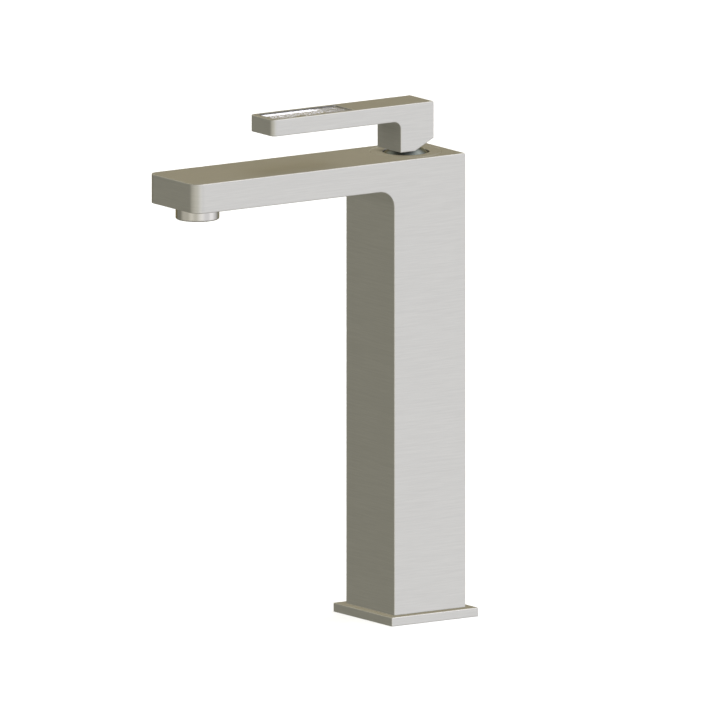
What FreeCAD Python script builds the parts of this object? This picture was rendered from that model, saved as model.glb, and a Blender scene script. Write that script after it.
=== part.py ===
"""Tall single-lever basin faucet: square column, flush spout, ceramic cartridge and slim lever.

The origin is the centre of the base plate's underside, on the axis of the deck hole. +Z is up and the
spout points along -Y. All sizes are millimetres and angles are degrees.
"""

import FreeCAD, Part
import os
import sys

import Sketcher

Vector = FreeCAD.Vector

DRIVING_SIZES = {
    "Column and base": {
        "column_side": 48.4,
        "column_wall": 3.2,
        "body_height": 264.9,
        "casting_edge": 0.3,
        "base_side": 58.8,
        "base_thickness": 5.0,
        "base_bevel": 0.2,
        "post_side": 7.8,
        "post_height": 16.0,
    },
    "Foot": {
        "foot_seat": 2.5,
        "foot_flange": 4.0,
        "foot_height": 24.0,
        "port_offset": 7.5,
        "port_forward": 3.0,
        "port_radius": 4.46,
        "port_length": 10.5,
        "stud_spacing": 22.0,
        "stud_radius": 3.4,
        "stud_depth": 14.5,
        "screw_radius": 2.0,
        "screw_head_radius": 3.6,
        "screw_length": 13.0,
        "screw_hex": 2.5,
        "deck_hole_radius": 17.5,
        "gasket_width": 1.9,
        "gasket_height": 1.8,
    },
    "Risers": {
        "riser_radius": 5.0,
        "riser_wall": 1.0,
        "riser_socket": 8.5,
        "seal_cord": 0.58,
        "seal_set_back": 1.3,
    },
    "Spout": {
        "spout_tip": 159.6,
        "spout_thickness": 16.7,
        "spout_corner": 6.0,
        "spout_root": 10.0,
        "spout_wall": 3.2,
        "waterway_radius": 2.4,
        "waterway_corner": 17.5,
        "waterway_wall": 2.4,
        "gallery_depth": 9.0,
        "seat_floor": 17.0,
    },
    "Outlet": {
        "outlet_reach": 142.0,
        "collar_radius": 12.4,
        "collar_drop": 7.5,
        "collar_bevel": 0.5,
        "outlet_thread_radius": 10.5,
        "aerator_radius": 9.0,
        "aerator_lip": 0.6,
        "aerator_lip_height": 0.8,
        "aerator_height": 7.6,
        "aerator_wall": 1.2,
        "aerator_ledge": 0.9,
        "screen_thickness": 2.0,
        "screen_pitch": 2.1,
        "screen_opening": 1.8,
        "regulator_thickness": 2.4,
        "regulator_hole": 0.9,
        "regulator_circle": 4.6,
        "washer_height": 2.0,
        "washer_width": 2.5,
    },
    "Cartridge": {
        "cartridge_radius": 17.5,
        "housing_wall": 2.7,
        "shoulder_wall": 1.5,
        "neck_wall": 2.2,
        "neck_rise": 5.0,
        "base_flange": 3.0,
        "base_spigot": 2.5,
        "disc_thickness": 3.2,
        "disc_film": 0.05,
        "inlet_offset": 5.0,
        "inlet_forward": 4.2,
        "inlet_radius": 2.4,
        "outlet_back": 5.5,
        "outlet_radius": 3.0,
        "seal_width": 1.3,
        "seal_height": 1.5,
        "pin_circle": 11.4,
        "locating_pin_radius": 1.9,
        "locating_pin_length": 3.0,
        "mixing_width": 9.2,
        "mixing_length": 8.0,
        "mixing_depth": 2.0,
        "mixing_corner": 2.5,
        "mixing_land": 1.8,
        "carrier_thickness": 3.0,
        "boss_wall": 2.1,
        "key_width": 3.0,
        "key_depth": 1.6,
        "socket_rise": 2.05,
    },
    "Stem guide": {
        "guide_radius": 10.0,
        "guide_flange": 1.5,
        "guide_stand": 0.6,
        "guide_float": 0.25,
        "guide_ring_drop": 5.5,
        "guide_ring_cord": 0.7,
        "leg_length": 20.0,
        "leg_thickness": 3.4,
        "pivot_depth": 12.5,
        "pivot_pin_radius": 1.5,
        "pivot_pin_length": 19.0,
        "lift_angle": 25.0,
    },
    "Lever stem": {
        "shank_side": 8.0,
        "shank_rise": 32.0,
        "pivot_boss_radius": 3.9,
        "ball_arm": 13.0,
        "ball_radius": 3.0,
        "ball_float": 0.55,
        "ball_neck_radius": 2.0,
        "stem_neck_radius": 2.5,
    },
    "Trim": {
        "dome_radius": 17.0,
        "dome_wall": 1.5,
        "dome_skirt_angle": 78.0,
        "nut_rim": 1.25,
        "nut_rim_height": 4.0,
        "nut_notch": 5.0,
        "ring_seat": 1.6,
        "ring_height": 4.0,
        "ring_opening": 13.25,
        "ring_land": 0.6,
        "ring_bevel": 0.12,
        "ring_seal_cord": 0.5,
    },
    "Lever": {
        "lever_width": 23.6,
        "lever_rise": 29.2,
        "lever_gap": 1.9,
        "lever_reach": 98.5,
        "bar_thickness": 9.45,
        "block_front": 11.4,
        "block_rear": 11.0,
        "block_inner": 4.75,
        "lever_corner": 3.0,
        "lever_edge": 0.25,
        "heel_start": 1.7,
        "heel_margin": 1.5,
        "grub_height": 13.0,
        "grub_radius": 2.5,
        "grub_length": 6.0,
        "grub_hex": 2.5,
        "insert_front": 95.0,
        "insert_rear": 42.0,
        "insert_width": 18.0,
        "insert_pocket": 3.6,
        "insert_recess": 0.5,
        "insert_bevel": 0.4,
    },
    "Clearances": {
        "seat_clearance": 0.1,
        "press_clearance": 0.02,
        "thread_clearance": 0.15,
        "running_clearance": 0.1,
        "pivot_clearance": 0.05,
        "part_clearance": 0.3,
        "ball_clearance": 0.2,
        "slot_clearance": 0.4,
        "sweep_clearance": 0.5,
        "cut_margin": 1.0,
    },
}

document = FreeCAD.newDocument("basin_faucet")
dims = document.addObject("Spreadsheet::Sheet", "dims")


def fill_sheet():
    """Write one row per driving size, under a heading for each group."""
    row = 1
    for group, sizes in DRIVING_SIZES.items():
        dims.set(f"A{row}", group)
        row += 1
        for name, number in sizes.items():
            dims.set(f"A{row}", name)
            dims.set(f"B{row}", str(number))
            dims.setAlias(f"B{row}", name)
            row += 1
    document.recompute()


fill_sheet()

# Heights and radii that follow from the driving sizes, from the deck up.
COLUMN_HALF = "(dims.column_side / 2)"
CAVITY_HALF = f"({COLUMN_HALF} - dims.column_wall)"
POST_CENTRE = f"({CAVITY_HALF} - dims.post_side / 2)"
FOOT_RADIUS = f"(sqrt(2) * ({CAVITY_HALF} - dims.post_side) - dims.part_clearance)"
SPIGOT_RADIUS = f"({FOOT_RADIUS} - dims.foot_seat)"
STUD_PLACE = "(dims.stud_spacing / 2)"
SPOUT_FLOOR = "(dims.body_height - dims.spout_thickness)"
CHANNEL_FLOOR = f"({SPOUT_FLOOR} + dims.spout_wall)"
PIVOT_Z = "(dims.body_height - dims.pivot_depth)"
LIFT = "(dims.lift_angle * 1deg)"
BALL_Z = f"({PIVOT_Z} - dims.ball_arm)"
BALL_TRAVEL = f"(dims.ball_arm * sin({LIFT}))"
PLATE_TOP = f"({BALL_Z} - dims.ball_radius - dims.ball_float)"
PLATE_FLOOR = f"({PLATE_TOP} - dims.carrier_thickness)"
MOVING_FLOOR = f"({PLATE_FLOOR} - dims.disc_thickness)"
FIXED_FLOOR = f"({MOVING_FLOOR} - dims.disc_film - dims.disc_thickness)"
BASE_SHELF = f"({FIXED_FLOOR} - dims.base_spigot)"
SEAT_Z = f"({BASE_SHELF} - dims.base_flange)"
FLOOR_UNDERSIDE = f"({SEAT_Z} - dims.seat_floor)"
GALLERY_Z = f"({SEAT_Z} - dims.gallery_depth)"
LINK_Z = f"({CHANNEL_FLOOR} + dims.waterway_radius + dims.seat_clearance)"
BOSS_TOP = f"({BALL_Z} + dims.socket_rise)"
GUIDE_FLOOR = f"({BOSS_TOP} + dims.guide_float)"
GUIDE_SHELF = f"({GUIDE_FLOOR} + dims.guide_flange)"
HOUSING_STEP = f"({GUIDE_SHELF} + dims.running_clearance)"
SHOULDER_Z = f"({HOUSING_STEP} + dims.shoulder_wall)"
NECK_TOP = f"({PIVOT_Z} + dims.neck_rise)"
GUIDE_TOP = f"({NECK_TOP} + dims.guide_stand)"
DOME_SWEEP = f"({PIVOT_Z} + dims.dome_radius * cos((dims.dome_skirt_angle + dims.lift_angle) * 1deg))"
NUT_TOP = f"({DOME_SWEEP} - dims.sweep_clearance)"
DOME_ROOM = "(dims.dome_radius + dims.part_clearance)"
NUT_RADIUS = f"({DOME_ROOM} + dims.nut_rim)"
THREAD_RADIUS = f"({NUT_RADIUS} + dims.thread_clearance)"
RING_BORE = f"({THREAD_RADIUS} + dims.ring_seat)"
RING_FLOOR = "(dims.body_height - dims.ring_height)"
RING_MIDDLE = "(dims.body_height - dims.ring_height / 2)"
HOUSING_BORE = "(dims.cartridge_radius - dims.housing_wall)"
NECK_BORE = "(dims.guide_radius + dims.running_clearance)"
NECK_RADIUS = f"({NECK_BORE} + dims.neck_wall)"
CARRIER_RADIUS = f"({HOUSING_BORE} - {BALL_TRAVEL} / 2 - dims.part_clearance)"
SOCKET_RADIUS = "(dims.ball_radius + dims.ball_clearance)"
BOSS_HALF = f"({SOCKET_RADIUS} + dims.boss_wall)"
SEAL_RADIUS_IN = "(dims.inlet_radius + dims.seal_width)"
SEAL_RADIUS_OUT = "(dims.outlet_radius + dims.seal_width)"
LEVER_TOP = "(dims.body_height + dims.lever_rise)"
BLOCK_FLOOR = "(dims.body_height + dims.lever_gap)"
HEEL_SLOPE = "tan((dims.lift_angle + dims.heel_margin) * 1deg)"
GRUB_Z = f"({BLOCK_FLOOR} + dims.grub_height)"
SHANK_TOP = f"({PIVOT_Z} + dims.shank_rise)"
SOCKET_HALF = "(dims.shank_side / 2 + dims.pivot_clearance)"
COLLAR_FLOOR = f"({SPOUT_FLOOR} - dims.collar_drop)"
AERATOR_FLOOR = f"({COLLAR_FLOOR} + dims.aerator_lip_height)"
AERATOR_TOP = f"({AERATOR_FLOOR} + dims.aerator_height)"
AERATOR_BORE = "(dims.aerator_radius - dims.aerator_wall)"

nodes = {}


def value(expression):
    """The number that an expression over the sheet stands for."""
    result = dims.evalExpression(expression)
    return float(getattr(result, "Value", result))


def keep(label, item):
    """Name a finished sub-part and list it as a node."""
    item.Label = label
    nodes[label] = item
    return item


def new_body(label):
    return keep(label, document.addObject("PartDesign::Body", label + "_body"))


def move_to(item, x="0", y="0", z="0"):
    """Bind an object's place to expressions."""
    for axis, place in (("x", x), ("y", y), ("z", z)):
        item.setExpression(f"Placement.Base.{axis}", place)


def sketch_on(body, role, offset="0"):
    """A sketch on one of the body's own origin planes, moved along that plane's normal."""
    sketch = body.newObject("Sketcher::SketchObject", "outline")
    plane = next(item for item in body.Origin.OriginFeatures if item.Role == role)
    sketch.AttachmentSupport = [(plane, "")]
    sketch.MapMode = "FlatFace"
    sketch.setExpression("AttachmentOffset.Base.z", offset)
    return sketch


def bind(sketch, kind, *target, expression):
    """Add a measured constraint and tie it to an expression."""
    number = sketch.addConstraint(Sketcher.Constraint(kind, *target, value(expression)))
    sketch.setExpression(f"Constraints[{number}]", expression)


def draw_outline(sketch, corners):
    """Draw a closed outline through corners, each a pair of expressions."""
    places = [Vector(value(x), value(y), 0) for x, y in corners]
    following = places[1:] + places[:1]
    lines = [sketch.addGeometry(Part.LineSegment(*ends)) for ends in zip(places, following)]
    for line, after in zip(lines, lines[1:] + lines[:1]):
        sketch.addConstraint(Sketcher.Constraint("Coincident", line, 2, after, 1))
    for line, (x, y) in zip(lines, corners):
        bind(sketch, "DistanceX", -1, 1, line, 1, expression=x)
        bind(sketch, "DistanceY", -1, 1, line, 1, expression=y)


def draw_rectangle(sketch, low_x, low_y, high_x, high_y):
    draw_outline(sketch, [(low_x, low_y), (high_x, low_y), (high_x, high_y), (low_x, high_y)])


def draw_square(sketch, half, x="0", y="0"):
    draw_rectangle(sketch, f"{x} - {half}", f"{y} - {half}", f"{x} + {half}", f"{y} + {half}")


def draw_circle(sketch, radius, x="0", y="0"):
    centre = Vector(value(x), value(y), 0)
    circle = sketch.addGeometry(Part.Circle(centre, Vector(0, 0, 1), value(radius)))
    bind(sketch, "DistanceX", -1, 1, circle, 3, expression=x)
    bind(sketch, "DistanceY", -1, 1, circle, 3, expression=y)
    bind(sketch, "Radius", circle, expression=radius)


def volume_of(body):
    document.recompute()
    return body.Shape.Volume if body.Tip and not body.Shape.isNull() else 0.0


def check_change(body, before, grows):
    """Stop if a feature that should add or take material did neither."""
    after = volume_of(body)
    if (after > before) != grows or abs(after - before) < 1e-6:
        sys.exit(f"{body.Label}: {body.Tip.Name} changed the volume from {before:.3f} to {after:.3f}")


def extrude(body, kind, sketch, length, symmetric=False, backwards=False):
    before = volume_of(body)
    feature = body.newObject(kind, kind.split("::")[1])
    feature.Profile = sketch
    feature.SideType = "Symmetric" if symmetric else "One side"
    feature.Reversed = backwards
    feature.setExpression("Length", length)
    check_change(body, before, grows=kind.endswith("Pad"))
    return feature


def pad(body, sketch, length, **direction):
    return extrude(body, "PartDesign::Pad", sketch, length, **direction)


def pocket(body, sketch, length, **direction):
    return extrude(body, "PartDesign::Pocket", sketch, length, **direction)


def turn(body, profile, kind="PartDesign::Revolution"):
    """Revolve a profile of radius and height about the body's own vertical axis."""
    before = volume_of(body)
    sketch = sketch_on(body, "XZ_Plane")
    draw_outline(sketch, profile)
    feature = body.newObject(kind, kind.split("::")[1])
    feature.Profile = sketch
    feature.ReferenceAxis = (sketch, ["V_Axis"])
    feature.Angle = 360
    check_change(body, before, grows=kind.endswith("Revolution"))
    return feature


def carve(body, profile):
    """Cut a turned profile out of a body."""
    return turn(body, profile, "PartDesign::Groove")


def turned_body(label, profile):
    body = new_body(label)
    turn(body, profile)
    return body


def ball(body, kind, radius, height, lowest="-90"):
    """Add or cut a ball on the body's axis, its lower part sliced off at a latitude."""
    before = volume_of(body)
    feature = body.newObject(kind, kind.split("::")[1])
    feature.setExpression("Radius", radius)
    feature.setExpression("Angle1", lowest)
    feature.setExpression("AttachmentOffset.Base.z", height)
    plane = next(item for item in body.Origin.OriginFeatures if item.Role == "XY_Plane")
    feature.AttachmentSupport = [(plane, "")]
    feature.MapMode = "FlatFace"
    check_change(body, before, grows="Additive" in kind)


def drill(body, radius, depth, places, start, upwards=False):
    """Cut round holes, all of one size, from a height downwards or upwards."""
    sketch = sketch_on(body, "XY_Plane", start)
    for x, y in places:
        draw_circle(sketch, radius, x, y)
    pocket(body, sketch, depth, backwards=upwards)


def corner_edges(shape, wanted):
    """Names of the edges where two faces meet at an angle, and whose middle is wanted."""
    names = []
    for number, edge in enumerate(shape.Edges, 1):
        middle = edge.valueAt((edge.FirstParameter + edge.LastParameter) / 2)
        faces = shape.ancestorsOfType(edge, Part.Face)
        normals = [face.normalAt(*face.Surface.parameter(middle)) for face in faces]
        if len(normals) == 2 and normals[0].dot(normals[1]) < 0.98 and wanted(middle):
            names.append(f"Edge{number}")
    return names


def dress(body, kind, size, wanted):
    """Round or bevel the body's corner edges that are wanted."""
    base = body.Tip
    before = volume_of(body)
    names = corner_edges(base.Shape, wanted)
    feature = body.newObject(kind, kind.split("::")[1])
    feature.Base = (base, names)
    feature.setExpression("Radius" if kind.endswith("Fillet") else "Size", size)
    if abs(volume_of(body) - before) < 1e-6:
        sys.exit(f"{body.Label}: {feature.Name} changed nothing")


def near(first, second):
    return abs(first - second) < 1e-3


def both_sides(offset):
    """An expression and its mirror image."""
    return (offset, f"-{offset}")


def corners_of(offset):
    """Four places, one in each corner of a square."""
    return [(x, y) for x in both_sides(offset) for y in both_sides(offset)]


RISER_PLACES = [(x, "-dims.port_forward") for x in both_sides("dims.port_offset")]
INLET_PLACES = [(x, "-dims.inlet_forward") for x in both_sides("dims.inlet_offset")]
OUTLET_PLACE = ("0", "dims.outlet_back")
PIN_PLACES = [(x, "0") for x in both_sides("dims.pin_circle")]
STUD_PLACES = [("0", y) for y in both_sides(STUD_PLACE)]
WATERWAY_SIDES = both_sides("dims.waterway_corner")
SOCKET_BORE = "(dims.riser_radius + dims.pivot_clearance)"
SEAL_SEAT_RADIUS = "(dims.riser_radius + 2 * (dims.seal_cord + dims.press_clearance))"
SEAL_SEAT_HEIGHT = "(3 * dims.seal_cord)"


def faucet_body():
    """Cast column and spout, with the cartridge seat and the waterways cored into it."""
    body = new_body("faucet_body")
    side = sketch_on(body, "YZ_Plane")
    draw_outline(side, [
        (COLUMN_HALF, "dims.base_thickness"),
        (COLUMN_HALF, "dims.body_height"),
        ("-dims.spout_tip", "dims.body_height"),
        ("-dims.spout_tip", SPOUT_FLOOR),
        (f"-{COLUMN_HALF}", SPOUT_FLOOR),
        (f"-{COLUMN_HALF}", "dims.base_thickness"),
    ])
    pad(body, side, "dims.column_side", symmetric=True)

    front, underside, tip = -value(COLUMN_HALF), value(SPOUT_FLOOR), -value("dims.spout_tip")
    foot = value("dims.base_thickness")
    dress(body, "PartDesign::Fillet", "dims.spout_root",
          lambda at: near(at.y, front) and near(at.z, underside))
    dress(body, "PartDesign::Fillet", "dims.spout_corner",
          lambda at: near(at.y, tip) and not near(at.x, 0))
    dress(body, "PartDesign::Fillet", "dims.casting_edge", lambda at: not near(at.z, foot))

    hollow_column(body)
    carve(body, [
        ("0", SEAT_Z),
        ("dims.cartridge_radius + dims.part_clearance", SEAT_Z),
        ("dims.cartridge_radius + dims.part_clearance", HOUSING_STEP),
        (THREAD_RADIUS, HOUSING_STEP),
        (THREAD_RADIUS, RING_FLOOR),
        (RING_BORE, RING_FLOOR),
        (RING_BORE, "dims.body_height - dims.ring_bevel"),
        (f"{RING_BORE} + 2 * dims.ring_bevel", "dims.body_height + dims.ring_bevel"),
        ("0", "dims.body_height + dims.ring_bevel"),
    ])
    core_waterways(body)
    bore_outlet(body)


def hollow_column(body):
    """Open the column from below and leave a screw post in each corner."""
    cavity = sketch_on(body, "XY_Plane", "dims.base_thickness")
    draw_square(cavity, CAVITY_HALF)
    pocket(body, cavity, f"{FLOOR_UNDERSIDE} - dims.base_thickness", backwards=True)
    posts = sketch_on(body, "XY_Plane", "dims.base_thickness")
    for x, y in corners_of(POST_CENTRE):
        draw_square(posts, "(dims.post_side / 2)", x, y)
    pad(body, posts, "dims.post_height")
    drill(body, "dims.screw_radius + dims.press_clearance",
          "dims.screw_length - dims.base_thickness + dims.part_clearance",
          corners_of(POST_CENTRE), "dims.base_thickness", upwards=True)


def core_waterways(body):
    """Sockets for the risers, ports to the cartridge, and two passages up to the spout."""
    drill(body, SOCKET_BORE, "dims.riser_socket", RISER_PLACES, FLOOR_UNDERSIDE, upwards=True)
    drill(body, SEAL_SEAT_RADIUS, SEAL_SEAT_HEIGHT, RISER_PLACES, FLOOR_UNDERSIDE, upwards=True)
    drill(body, "dims.inlet_radius", "dims.seat_floor - dims.riser_socket", INLET_PLACES, SEAT_Z)
    drill(body, "dims.outlet_radius", "dims.gallery_depth", [OUTLET_PLACE], SEAT_Z)
    drill(body, "dims.locating_pin_radius + dims.seat_clearance",
          "dims.locating_pin_length + dims.part_clearance", PIN_PLACES, SEAT_Z)

    across = sketch_on(body, "YZ_Plane")
    draw_circle(across, "dims.waterway_radius", "dims.outlet_back", GALLERY_Z)
    pocket(body, across, "2 * dims.waterway_corner", symmetric=True)
    forward = sketch_on(body, "XZ_Plane", "-dims.outlet_back")
    for x in WATERWAY_SIDES:
        draw_circle(forward, "dims.waterway_radius", x, GALLERY_Z)
    pocket(body, forward, "dims.outlet_back + dims.waterway_corner", backwards=True)
    drill(body, "dims.waterway_radius", f"{LINK_Z} + dims.waterway_radius - {GALLERY_Z}",
          [(x, "-dims.waterway_corner") for x in WATERWAY_SIDES], GALLERY_Z, upwards=True)

    channel_start = f"({RING_BORE} + dims.waterway_wall)"
    link = sketch_on(body, "XZ_Plane", "dims.waterway_corner")
    for x in WATERWAY_SIDES:
        draw_circle(link, "dims.waterway_radius", x, LINK_Z)
    pocket(body, link, f"{channel_start} + dims.waterway_radius - dims.waterway_corner", backwards=True)
    channel = sketch_on(body, "XZ_Plane", channel_start)
    channel_half = f"({COLUMN_HALF} - dims.spout_wall)"
    draw_rectangle(channel, f"-{channel_half}", CHANNEL_FLOOR,
                   channel_half, "dims.body_height - dims.spout_wall")
    pocket(body, channel, f"dims.spout_tip - dims.spout_wall - {channel_start}", backwards=True)


def bore_outlet(body):
    """Thread bore for the aerator through the spout's floor."""
    drill(body, "dims.outlet_thread_radius + dims.thread_clearance",
          "dims.spout_wall + dims.seat_clearance", [("0", "-dims.outlet_reach")], SPOUT_FLOOR,
          upwards=True)


def base_plate():
    """Square escutcheon with a countersunk hole for each screw and a groove for the gasket."""
    body = new_body("base_plate")
    plate = sketch_on(body, "XY_Plane")
    draw_square(plate, "(dims.base_side / 2)")
    draw_circle(plate, f"{SPIGOT_RADIUS} + dims.part_clearance")
    pad(body, plate, "dims.base_thickness")
    reach = value("dims.base_side") / 2
    dress(body, "PartDesign::Chamfer", "dims.base_bevel",
          lambda at: at.z > 1e-3 and max(abs(at.x), abs(at.y)) > reach - 1e-3)
    drill(body, "dims.screw_radius + dims.seat_clearance", "dims.base_thickness",
          corners_of(POST_CENTRE), "0", upwards=True)
    drill(body, "dims.screw_head_radius + dims.seat_clearance",
          "dims.screw_radius + dims.part_clearance", corners_of(POST_CENTRE), "0", upwards=True)
    inner = "(dims.deck_hole_radius + dims.part_clearance - dims.seat_clearance)"
    outer = f"({inner} + dims.gasket_width + 2 * dims.seat_clearance)"
    carve(body, [(inner, "0"), (outer, "0"), (outer, "dims.gasket_height"), (inner, "dims.gasket_height")])


def base_gasket():
    inner = "(dims.deck_hole_radius + dims.part_clearance)"
    outer = f"({inner} + dims.gasket_width)"
    turned_body("base_gasket", [
        (inner, "0"), (outer, "0"), (outer, "dims.gasket_height"), (inner, "dims.gasket_height")])


def base_screws():
    """Four flat-headed screws, up through the base plate into the column's posts."""
    screws = []
    for number, (x, y) in enumerate(corners_of(POST_CENTRE), 1):
        head = document.addObject("Part::Cylinder", f"screw_head_{number}")
        head.setExpression("Radius", "dims.screw_head_radius")
        head.setExpression("Height", "dims.screw_radius")
        shank = document.addObject("Part::Cylinder", f"screw_shank_{number}")
        shank.setExpression("Radius", "dims.screw_radius")
        shank.setExpression("Height", "dims.screw_length - dims.part_clearance")
        whole = document.addObject("Part::Fuse", f"screw_solid_{number}")
        whole.Base, whole.Tool = head, shank
        recess = document.addObject("Part::Prism", f"screw_recess_{number}")
        recess.Polygon = 6
        recess.setExpression("Circumradius", "dims.screw_hex / sqrt(3)")
        recess.setExpression("Height", "dims.screw_radius")
        screw = document.addObject("Part::Cut", f"screw_{number}")
        screw.Base, screw.Tool = whole, recess
        move_to(screw, x, y, "dims.part_clearance")
        screws.append(screw)
    group = document.addObject("Part::Compound", "screw_group")
    group.Links = screws
    keep("base_screws", group)


def foot_insert():
    """Brass foot: hose ports and stud threads below, sockets for the two risers above."""
    shelf = "dims.base_thickness"
    body = turned_body("foot_insert", [
        ("0", "0"),
        (SPIGOT_RADIUS, "0"),
        (SPIGOT_RADIUS, shelf),
        (FOOT_RADIUS, shelf),
        (FOOT_RADIUS, f"{shelf} + dims.foot_flange"),
        (SPIGOT_RADIUS, f"{shelf} + dims.foot_flange"),
        (SPIGOT_RADIUS, "dims.foot_height"),
        ("0", "dims.foot_height"),
    ])
    drill(body, "dims.riser_radius - dims.riser_wall", "dims.foot_height", RISER_PLACES, "dims.foot_height")
    drill(body, "dims.port_radius", "dims.port_length", RISER_PLACES, "0", upwards=True)
    drill(body, SOCKET_BORE, "dims.riser_socket", RISER_PLACES, "dims.foot_height")
    drill(body, SEAL_SEAT_RADIUS, SEAL_SEAT_HEIGHT, RISER_PLACES, "dims.foot_height")
    drill(body, "dims.stud_radius", "dims.stud_depth", STUD_PLACES, "0", upwards=True)


def risers():
    """The hot and cold tubes that join the foot to the cartridge seat."""
    foot = "dims.foot_height - dims.riser_socket"
    top = f"({FLOOR_UNDERSIDE} + dims.riser_socket)"
    inner = "dims.riser_radius - dims.riser_wall"
    for label, (x, y) in zip(("hot_riser", "cold_riser"), reversed(RISER_PLACES)):
        body = turned_body(label, [
            (inner, foot), ("dims.riser_radius", foot), ("dims.riser_radius", top), (inner, top)])
        move_to(body, x, y)


CORD_SIDES = 8
# Half the height of a seal's groove, in radii of its cord.
GROOVE_ROOM = 1.2


def ring_cord(name, radius, cord, height, x="0", y="0"):
    """A round seal. Its cord has eight sides instead of a circle, which keeps a small seal light."""
    section = document.addObject("Part::RegularPolygon", f"{name}_section")
    section.Polygon = CORD_SIDES
    section.setExpression("Circumradius", cord)
    section.Placement = FreeCAD.Placement(Vector(), FreeCAD.Rotation(Vector(1, 0, 0), 90))
    move_to(section, radius)
    ring = document.addObject("Part::Revolution", name)
    ring.Source = section
    ring.Axis = Vector(0, 0, 1)
    ring.Solid = True
    move_to(ring, x, y, height)
    return ring


def riser_seals():
    """One round seal at each end of both risers."""
    radius = "dims.riser_radius + dims.seal_cord + dims.press_clearance"
    heights = ("dims.foot_height - dims.seal_set_back * dims.seal_cord",
               f"{FLOOR_UNDERSIDE} + dims.seal_set_back * dims.seal_cord")
    group = document.addObject("Part::Compound", "riser_seal_group")
    group.Links = [
        ring_cord("riser_seal", radius, "dims.seal_cord", height, x, y)
        for height in heights for x, y in RISER_PLACES]
    keep("riser_o_rings", group)


def cartridge_base():
    """Plastic base of the cartridge: three ports, each with a seal seat above and below."""
    rim = "dims.cartridge_radius"
    spigot = f"({HOUSING_BORE} - dims.seat_clearance)"
    body = turned_body("cartridge_base", [
        ("0", SEAT_Z), (rim, SEAT_Z), (rim, BASE_SHELF), (spigot, BASE_SHELF),
        (spigot, FIXED_FLOOR), ("0", FIXED_FLOOR)])
    pins = sketch_on(body, "XY_Plane", SEAT_Z)
    for x, y in PIN_PLACES:
        draw_circle(pins, "dims.locating_pin_radius", x, y)
    pad(body, pins, "dims.locating_pin_length", backwards=True)
    ports = ((INLET_PLACES, "dims.inlet_radius", SEAL_RADIUS_IN),
             ([OUTLET_PLACE], "dims.outlet_radius", SEAL_RADIUS_OUT))
    for places, radius, seat in ports:
        drill(body, radius, f"{FIXED_FLOOR} - {SEAT_Z}", places, FIXED_FLOOR)
        drill(body, seat, "dims.seal_height", places, FIXED_FLOOR)
        drill(body, seat, "dims.seal_height", places, SEAT_Z, upwards=True)


def flat_seals(label, height):
    """Three square-cut seals, one round each port of the cartridge."""
    links = []
    for place, port, seat in (
        (INLET_PLACES[0], "dims.inlet_radius", SEAL_RADIUS_IN),
        (INLET_PLACES[1], "dims.inlet_radius", SEAL_RADIUS_IN),
        (OUTLET_PLACE, "dims.outlet_radius", SEAL_RADIUS_OUT),
    ):
        outer = document.addObject("Part::Cylinder", f"{label}_outer")
        outer.setExpression("Radius", f"{seat} - dims.pivot_clearance")
        inner = document.addObject("Part::Cylinder", f"{label}_inner")
        inner.setExpression("Radius", f"{port} + dims.pivot_clearance")
        for cylinder in (outer, inner):
            cylinder.setExpression("Height", "dims.seal_height")
        seal = document.addObject("Part::Cut", f"{label}_seal")
        seal.Base, seal.Tool = outer, inner
        move_to(seal, *place, height)
        links.append(seal)
    group = document.addObject("Part::Compound", f"{label}_group")
    group.Links = links
    keep(label, group)


def fixed_disc():
    """Lower ceramic disc, with the two inlets and the outlet through it."""
    radius = f"({HOUSING_BORE} - dims.part_clearance)"
    body = turned_body("fixed_disc", [
        ("0", FIXED_FLOOR), (radius, FIXED_FLOOR),
        (radius, f"{FIXED_FLOOR} + dims.disc_thickness"), ("0", f"{FIXED_FLOOR} + dims.disc_thickness")])
    top = f"{FIXED_FLOOR} + dims.disc_thickness"
    drill(body, "dims.inlet_radius", "dims.disc_thickness", INLET_PLACES, top)
    drill(body, "dims.outlet_radius", "dims.disc_thickness", [OUTLET_PLACE], top)


DISC_Y = f"({BALL_TRAVEL} / 2)"
KEY_HALF = "(dims.key_width / 2)"


def moving_disc():
    """Upper ceramic disc: closed above, with the mixing pocket in its face and two key slots."""
    body = new_body("moving_disc")
    radius = f"({CARRIER_RADIUS} - dims.seat_clearance)"
    plate = sketch_on(body, "XY_Plane", MOVING_FLOOR)
    draw_circle(plate, radius, "0", DISC_Y)
    pad(body, plate, "dims.disc_thickness")
    keys = sketch_on(body, "XY_Plane", MOVING_FLOOR)
    for low, high in ((f"{radius} - dims.key_depth", f"{radius} + dims.cut_margin"),
                      (f"-{radius} - dims.cut_margin", f"-{radius} + dims.key_depth")):
        draw_rectangle(keys, low, f"{DISC_Y} - {KEY_HALF}", high, f"{DISC_Y} + {KEY_HALF}")
    pocket(body, keys, "dims.disc_thickness", backwards=True)
    mixing = sketch_on(body, "XY_Plane", MOVING_FLOOR)
    draw_rectangle(mixing, "-dims.mixing_width / 2", "dims.mixing_land",
                   "dims.mixing_width / 2", "dims.mixing_land + dims.mixing_length")
    pocket(body, mixing, "dims.mixing_depth", backwards=True)
    half, middle = value("dims.mixing_width / 2"), value(f"{MOVING_FLOOR} + dims.mixing_depth / 2")
    dress(body, "PartDesign::Fillet", "dims.mixing_corner",
          lambda at: near(abs(at.x), half) and near(at.z, middle))


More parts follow.
